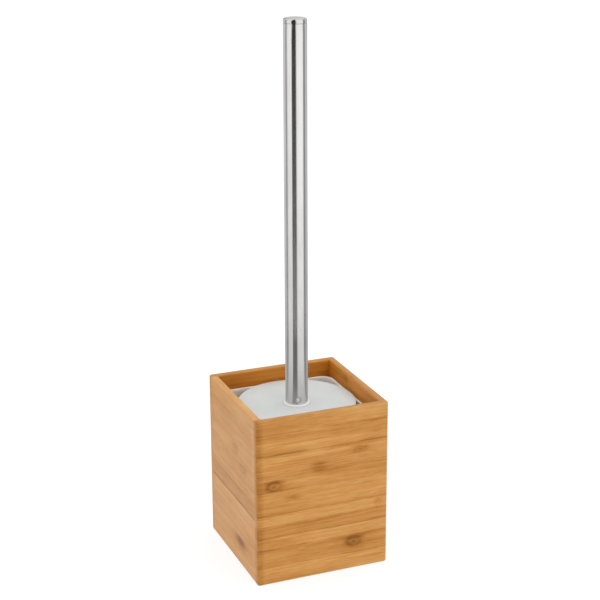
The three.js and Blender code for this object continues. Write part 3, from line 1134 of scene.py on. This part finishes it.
def insert():
    # plug with ribs round it, a blind threaded bore, and a round nub that shows in the tube's hole
    s = insertShape
    low, high = insertLow[2], insertHigh[2]
    plug = tubeRadius - tubeShape["wall"] - s["play"]
    boreEnd = coreHigh[2] + s["end"]
    sides = fullTurn(threadShape["sides"])
    outside = [(0, high), (plug - 0.8, high), (plug - 0.3, high - 0.2), (plug, high - 0.8)]
    for rib in np.linspace(high - 3, low + 9, 4):
        outside += [(plug, rib + 0.8), (plug - 0.4, rib + 0.5), (plug - 0.4, rib - 0.5), (plug, rib - 0.8)]
    outside += [(plug, low + 0.3), (plug - 0.3, low), (s["bore"] + 0.5, low), (s["bore"], low + 0.5)]
    bore = threaded(s["bore"], low + 0.6, boreEnd - 0.8, outwards=False)
    end = [(s["bore"], boreEnd - 0.6), (s["bore"] * 0.9, boreEnd), (0, boreEnd)]
    body = stacked(ringsFrom(outside, sides), bore, ringsFrom(end, sides))
    # the nub is turned about X, then swung round to the hole
    reach = tubeRadius - s["nubRecess"]
    nub = [(0, s["bore"] + 0.6), (s["nub"], s["bore"] + 0.6), (s["nub"], reach - 0.45)]
    nub += [tuple(point) for point in arc((s["nub"] - 0.45, reach - 0.45), 0.45, 15, 90, 4)]
    nub += [(0, reach + 0.02)]
    points, faceLists = stacked(ringsFrom(nub, fullTurn(28)))
    points = swung(points[:, [2, 0, 1]], tubeShape["turn"]) + [0, 0, tubeLow[2] + tubeShape["level"]]
    return joined(body, (points, faceLists))


insertLook = {
    "colour": linear(236, 236, 234),
    "shade": linear(226, 226, 224),
    "roughness": 0.38,
    "seed": 19.0,
}
insertFinish = plasticFinish("insert_white", insertLook)
makePiece("insert", *insert(), "handle", "brush_plastic", insertFinish, "threaded_insert")
print("insert")


# brush head

coreShape = {
    "stud": 4.0,
    "shoulder": 9.0,
    "shoulderHeight": 4.0,
    "neck": 6.0,
    "neckLength": 12.0,
    "barrel": 11.0,
    "lidGap": 0.3,        # between the shoulder and the hub of the lid
    "plain": 5.0,         # smooth length of the stud above the shoulder
}


def core():
    # round end, barrel, neck with a flange, and the threaded stud
    s = coreShape
    low, high = coreLow[2], coreHigh[2]
    sides = fullTurn(threadShape["sides"])
    barrel, neck, shoulder, stud = s["barrel"], s["neck"], s["shoulder"], s["stud"]
    shoulderTop = lidLow[2] - s["lidGap"]
    barrelTop = shoulderTop - s["neckLength"]
    flangeLow = shoulderTop - s["shoulderHeight"]
    threadLow = shoulderTop + s["plain"]
    outside = np.concatenate([
        arc((0, low + barrel), barrel, -90, 0, 14),
        [[barrel, low + barrel + 0.3], [barrel, barrelTop - 2]],
        arc((barrel - 2, barrelTop - 2), 2, 0, 90, 6),
        arc((neck + 1, barrelTop + 1), 1, 270, 180, 5),
        [[neck, flangeLow - 0.2], [neck + 0.2, flangeLow]],
        arc((shoulder - 1, flangeLow + 1.3), 1, -60, 0, 5),
        [[shoulder, shoulderTop - 0.4], [shoulder - 0.4, shoulderTop], [stud + 0.6, shoulderTop]],
        [[stud - 0.05, shoulderTop + 0.3], [stud, shoulderTop + 0.6], [stud, threadLow - 0.1]],
    ])
    thread = threaded(stud, threadLow, high - 0.9, outwards=True)
    end = [(stud, high - 0.8), (stud - 0.8, high), (0, high)]
    return stacked(ringsFrom(outside, sides), thread, ringsFrom(end, sides))


stemFinish = plasticFinish("stem_white", coreLook)
makePiece("brush_stem", *core(), "brush_head", "brush_plastic", stemFinish, "brush_core")
print("core")

bristleLook = {
    "colour": linear(248, 248, 245),
    "tip": linear(250, 250, 248),
    "shade": linear(226, 226, 220),
}


def nylonFinish(name, look):
    # each filament has its own shade, kept with the mesh; tips are paler
    finish = Finish(name)
    x, y, z = place = finish.place()
    own = finish.node("Attribute", {"attribute_name": "shade"}, output=2)
    reach = finish.soft((x * x + y * y).root(), 14, 36)
    speck = finish.mottle(place, (0.8, 0.8, 0.8))
    colour = finish.blend(own, look["shade"], look["colour"])
    colour = finish.blend(reach * 0.6, colour, look["tip"])
    finish.set(Base_Color=colour, Roughness=0.36 + (own - 0.5) * 0.12 + (speck - 0.5) * 0.1)
    finish.set(Specular_IOR_Level=0.45)
    finish.set(Normal=finish.bump(speck, 0.1, 0.0001))
    return finish


bristleShape = {
    "rows": 8,
    "tufts": 12,
    "filaments": 38,      # in each tuft
    "thick": 0.24,        # radius of a filament
    "rootSpread": 1.7,
    "tipSpread": 4.3,
    "stations": 5,
    "tip": 620,           # filaments round the end of the head
}


def filaments(root, tip, bow, thick):
    # Each filament is a bent line root + (tip - root) t + bow t(1 - t) * 4, with a three-cornered ring at
    # each station and a point at its end. root, tip and bow are (count, 3) arrays.
    s = bristleShape
    count = len(root)
    t = np.linspace(0, 1, s["stations"])[None, :, None]
    line = root[:, None] + (tip - root)[:, None] * t + bow[:, None] * t * (1 - t) * 4
    along = tip - root
    along /= np.linalg.norm(along, axis=1, keepdims=True)
    up = np.cross(along, [0.31, 0.17, 0.93])
    up /= np.linalg.norm(up, axis=1, keepdims=True)
    beside = np.cross(along, up)
    turn = np.arange(3) / 3 * 2 * math.pi
    ring = up[:, None] * np.cos(turn)[None, :, None] + beside[:, None] * np.sin(turn)[None, :, None]
    taper = (1 - 0.3 * t[0]) * thick
    rings = line[:, :, None] + ring[:, None] * taper[None, :, None]
    ends = (tip + along * thick * 1.2)[:, None]
    points = np.concatenate([rings.reshape(count, -1, 3), ends], axis=1)
    each = points.shape[1]
    last = (s["stations"] - 1) * 3
    sides = gridFaces(s["stations"], 3, False, True)
    starts = np.arange(count)[:, None, None] * each
    quads = (sides[None] + starts).reshape(-1, 4)
    i = np.arange(3)
    tops = together(last + i, last + (i + 1) % 3, each - 1)
    foot = np.array([[2, 1, 0]])
    tris = [(triangle[None] + starts).reshape(-1, 3) for triangle in (tops, foot)]
    return facingOut(points.reshape(-1, 3), [quads, np.concatenate(tris)])


def makeTufts(name, node, root, tip, bow, rng, finish):
    # the piece, with a shade of its own kept for each filament
    points, faceLists = filaments(root, tip, bow, bristleShape["thick"])
    piece = makePiece(name, points, faceLists, "brush_head", "bristle_nylon", finish, node, crease=180)
    values = np.repeat(rng.uniform(0.1, 1.0, len(root)), len(points) // len(root))
    layer = piece.data.attributes.new("shade", "FLOAT", "POINT")
    layer.data.foreach_set("value", values.astype(np.float32))


def bristleRow(index, finish):
    # a row of tufts; the row's reach and level come from its node
    s = bristleShape
    rng = np.random.default_rng(100 + index)
    low, high = nodeBox(f"bristle_row_{index + 1}")
    along = 2 * (index + 0.5) / s["rows"] - 1
    widest = max(high[0], high[1])
    level = (low[2] + high[2]) / 2
    step = 2 * math.pi / s["tufts"]
    middle = (np.arange(s["tufts"]) + 0.5 * (index % 2)) * step
    middle = np.repeat(middle, s["filaments"]) + rng.normal(0, 0.012, s["tufts"] * s["filaments"])
    count = len(middle)
    r = np.sqrt(rng.uniform(0, 1, count))
    around = rng.uniform(0, 2 * math.pi, count)
    sideways = r * np.cos(around)
    upwards = r * np.sin(around)
    outward = together(np.cos(middle), np.sin(middle), 0)
    across = together(-np.sin(middle), np.cos(middle), 0)
    up = np.array([0, 0, 1.0])
    start = coreShape["barrel"] - 0.6
    root = outward * start + up * level
    root = root + (across * sideways[:, None] + up * upwards[:, None]) * s["rootSpread"]
    spread = s["tipSpread"] * (1 + rng.normal(0, 0.08, count))
    offset = across * (sideways * spread)[:, None] + up * (upwards * spread * 0.84)[:, None]
    tip = outward * (widest - 0.8) + offset + up * level
    # trim to the row's radius, with a ragged edge
    flat = np.hypot(tip[:, 0], tip[:, 1])
    trim = (widest - 0.45 - np.abs(rng.normal(0, 0.35, count))) / flat
    tip[:, :2] *= trim[:, None]
    bow = rng.normal(0, 0.45, (count, 3)) + up * rng.normal(-0.3, 0.35, count)[:, None]
    makeTufts(f"tufts_{index + 1}", f"bristle_row_{index + 1}", root, tip, bow, rng, finish)


def tipTufts(finish):
    # filaments fanned round the core's lower end: directions spread evenly over the lower half of a ball
    s = bristleShape
    rng = np.random.default_rng(900)
    count = s["tip"]
    centre = np.array([0, 0, coreLow[2] + coreShape["barrel"]])
    k = (np.arange(count) + 0.5) / count
    down = 0.10 + 0.90 * k
    around = np.arange(count) * math.pi * (3 - math.sqrt(5))
    flat = np.sqrt(1 - down ** 2)
    direction = together(flat * np.cos(around), flat * np.sin(around), -down)
    # gathered a little into tufts, as they are set in holes
    gather = np.round(around / 0.52) * 0.52
    direction[:, 0] = direction[:, 0] * 0.45 + flat * np.cos(gather) * 0.55
    direction[:, 1] = direction[:, 1] * 0.45 + flat * np.sin(gather) * 0.55
    direction += rng.normal(0, 0.035, direction.shape)
    direction /= np.linalg.norm(direction, axis=1, keepdims=True)
    wide = max(tipHigh[0], tipHigh[1]) - 0.6
    deep = centre[2] - tipLow[2] - 0.5
    flat = np.hypot(direction[:, 0], direction[:, 1])
    reach = 1 / np.sqrt((flat / wide) ** 2 + (direction[:, 2] / deep) ** 2)
    reach -= np.abs(rng.normal(0, 0.4, count))
    root = centre + direction * (coreShape["barrel"] - 0.6)
    tip = centre + direction * reach[:, None]
    bow = rng.normal(0, 0.35, (count, 3))
    makeTufts("tufts_end", "tip_bristles", root, tip, bow, rng, finish)


nylon = nylonFinish("bristle_white", bristleLook)
for index in range(bristleShape["rows"]):
    bristleRow(index, nylon)
tipTufts(nylon)
print("bristles")


# floor, light and what the steel reflects

stageLook = {
    "floor": 6.0,                # half its side, in metres
    "floorColour": 0.3,
    "floorGlow": 0.76,
    "world": (0.92, 0.10, 0.10, 0.26),    # even light, and what is added from the right, the front and above
    "drumRadius": 0.3,
    "drumHeight": 0.62,
    # the drum's outline as shares of its radius and its height
    "drum": ((1, 0.0016), (1, 1), (0.87, 1.24), (0.5, 1.42), (0.02, 1.47)),
    # the funnel's radius, and its height over the lid's top or over the box's rim
    "funnelOverLid": ((0.0088, -0.0012), (0.0125, 0.0006)),
    "funnelOverRim": ((0.037, -0.003), (0.0415, 0.0004), (0.07, 0.002)),
    "sides": 96,
    "dark": (0.3, 0.28, 0.1),    # a dark stripe's light, less towards the top, less close to the foot
    "crown": 0.8,                # light that is added over the top
    "fall": (0.5, 0.28, 0.18),   # light at the foot, more above it, more higher up
    "funnelLight": 0.5,
    "funnelRise": 0.08,
    "funnelPale": (0.58, 0.36),  # how faint the stripes are at its foot, and how much less so further out
    "drumFacing": -111.87,       # the bearing that the stripes are counted from, in degrees
    # bearing and brightness of each stripe round the drum
    "stripes": (
        (-180, 0.66), (-172, 0.64), (-168, 0.1), (-158, 0.1), (-152, 0.9), (-144, 0.9), (-138, 0.68),
        (-110, 0.64), (-106, 0.37), (-90, 0.37), (-80, 0.95), (-37, 0.97), (-33, 0.0), (2, 0.0),
        (15, 1.0), (50, 1.07), (76, 1.05), (84, 0.27), (101, 0.27), (109, 0.54), (125, 0.64),
        (140, 0.66), (146, 0.3), (156, 0.3), (162, 0.84), (180, 0.66),
    ),
}


def stagePiece(name, points, faces, finish):
    # points in metres
    mesh = bpy.data.meshes.new(name)
    mesh.from_pydata(points, [], faces)
    mesh.materials.append(finish.material)
    piece = bpy.data.objects.new(name, mesh)
    bpy.context.scene.collection.objects.link(piece)
    return piece


def addFloor():
    s = stageLook["floor"]
    finish = Finish("floor_pale")
    grain = finish.mottle(finish.place(), (3, 3, 3))
    shade = stageLook["floorColour"]
    colour = finish.blend(grain, (shade, shade, shade), (shade * 1.02, shade * 1.02, shade * 1.02))
    finish.set(Base_Color=colour, Roughness=0.9, Specular_IOR_Level=0.0)
    finish.set(Emission_Color=(1.0, 1.0, 1.0), Emission_Strength=stageLook["floorGlow"])
    stagePiece("floor", [(-s, -s, 0), (s, -s, 0), (s, s, 0), (-s, s, 0)], [(0, 1, 2, 3)], finish)


def stripesFinish():
    # brightness depends on bearing, on height in the dark stripes, and fades downwards
    look = stageLook
    finish = Finish("reflection_stripes")
    soft = finish.soft
    x, y, z = finish.place()
    facing = math.radians(look["drumFacing"])
    ahead = x * math.cos(facing) + y * math.sin(facing)
    beside = y * math.cos(facing) - x * math.sin(facing)
    bearing = x.maths("ARCTAN2", beside, ahead) * (0.5 / math.pi) + 0.5
    stripes = finish.ramp(bearing, [(place / 360 + 0.5, value) for place, value in look["stripes"]])
    isDark = soft(stripes, 0.2, 0.05)
    foot, up, close = look["dark"]
    dark = foot - soft(z, 30, 205) * up - soft(z, 50, 15) * close
    crown = soft(z, 560, 680) * (1 - isDark)
    light = stripes + (1 - stripes) * (dark * isDark + crown * look["crown"])
    foot, low, high = look["fall"]
    light = light * (foot + soft(z, 5, 75) * low + soft(z, 40, 260) * high)
    # the funnel carries the stripes on, dimmer and fainter, to the foot of the tube
    radius = (x * x + y * y).root()
    foot, out = look["funnelPale"]
    pale = foot - soft(radius, 12, 50) * out
    dim = (stripes + (1 - stripes) * pale) * (look["funnelLight"] + soft(radius, 10, 60) * look["funnelRise"])
    light = light + (dim - light) * (radius < 100)
    behind = finish.node("NewGeometry", output=6)
    finish.set(Base_Color=(0.0, 0.0, 0.0), Specular_IOR_Level=0.0, Roughness=1.0)
    finish.set(Emission_Color=light, Emission_Strength=1.0, Alpha=1 - behind)
    return finish


def addScreens():
    # a tall round drum that only reflections see, and a funnel just above the lid that keeps the box out of
    # the tube's foot; both are seen from inside only
    look = stageLook
    drum = [(wide * look["drumRadius"], tall * look["drumHeight"]) for wide, tall in look["drum"]]
    funnel = [(radius, lidHigh[2] * mm + over) for radius, over in look["funnelOverLid"]]
    funnel += [(radius, boxTop * mm + over) for radius, over in look["funnelOverRim"]]
    finish = stripesFinish()
    for name, profile in (("reflection_drum", drum), ("reflection_funnel", funnel)):
        points = ringsFrom(profile, fullTurn(look["sides"])).reshape(-1, 3)
        faces = gridFaces(len(profile), look["sides"], False, True)[:, ::-1]
        screen = stagePiece(name, points.tolist(), faces.tolist(), finish)
        for seen in ("camera", "diffuse", "shadow", "transmission", "volume_scatter"):
            setattr(screen, "visible_" + seen, False)


def addWorld():
    # soft light all round, a little stronger from above and from the right; the backdrop itself stays white
    world = bpy.data.worlds.new("studio")
    bpy.context.scene.world = world
    world.use_nodes = True
    nodes = Nodes(world.node_tree)
    x, y, z = nodes.split(nodes.node("TexCoord"))
    isBackdrop = nodes.node("LightPath")
    base, right, front, up = stageLook["world"]
    light = base + x * right - y * front + z * up
    background = nodes.tree.nodes["Background"]
    feed(nodes.tree, background.inputs["Color"], (1.0, 1.0, 1.0))
    feed(nodes.tree, background.inputs["Strength"], light + (1 - light) * isBackdrop)


addFloor()
addScreens()
addWorld()
print("stage")
